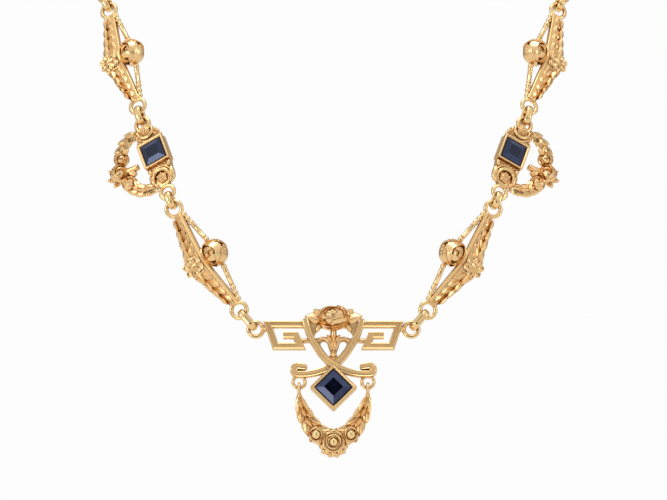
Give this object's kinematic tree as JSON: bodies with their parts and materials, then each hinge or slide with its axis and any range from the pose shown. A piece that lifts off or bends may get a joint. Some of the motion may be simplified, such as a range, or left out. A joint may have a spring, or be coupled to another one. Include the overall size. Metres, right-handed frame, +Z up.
{
  "type": "festoon necklace",
  "caption": "Gold festoon necklace with Greek key plaque, laurel and rose links, square sapphires and a hanging garland.",
  "frame": {"origin": "middle of the neck loop, where a neck carries the necklace", "axes": "+Z up along the neck, -Y towards the front of the wearer, +X to the right as seen from the front"},
  "size_m": [0.1066, 0.1221, 0.1226],
  "materials": {
    "gold": "18-carat yellow gold, cast and partly satin brushed",
    "polished_gold": "polished yellow gold",
    "sapphire": "polished step cut"
  },
  "bodies": {
    "necklace": {"centre_plaque": "gold", "centre_sapphire": "sapphire", "lower_laurel_left": "gold", "lower_laurel_right": "gold", "upper_laurel_left": "gold", "upper_laurel_right": "gold", "stone_link_left": "gold", "stone_link_right": "gold", "side_sapphire_left": "sapphire", "side_sapphire_right": "sapphire", "plaque_joiner_left": "polished_gold", "plaque_joiner_right": "polished_gold", "lower_joiner_left": "polished_gold", "lower_joiner_right": "polished_gold", "upper_joiner_left": "polished_gold", "upper_joiner_right": "polished_gold", "chain_joiner_left": "polished_gold", "chain_joiner_right": "polished_gold", "back_chain_left": "polished_gold", "back_chain_right": "polished_gold", "clasp": "polished_gold"},
    "garland": {"garland": "gold"}
  },
  "joints": [
    {"name": "garland_swing", "type": "hinge", "parent": "necklace", "child": "garland", "pos_m": [0, -0.06511, -0.10359], "axis": [1, 0, 0], "range_deg": [-75, 60]}
  ]
}
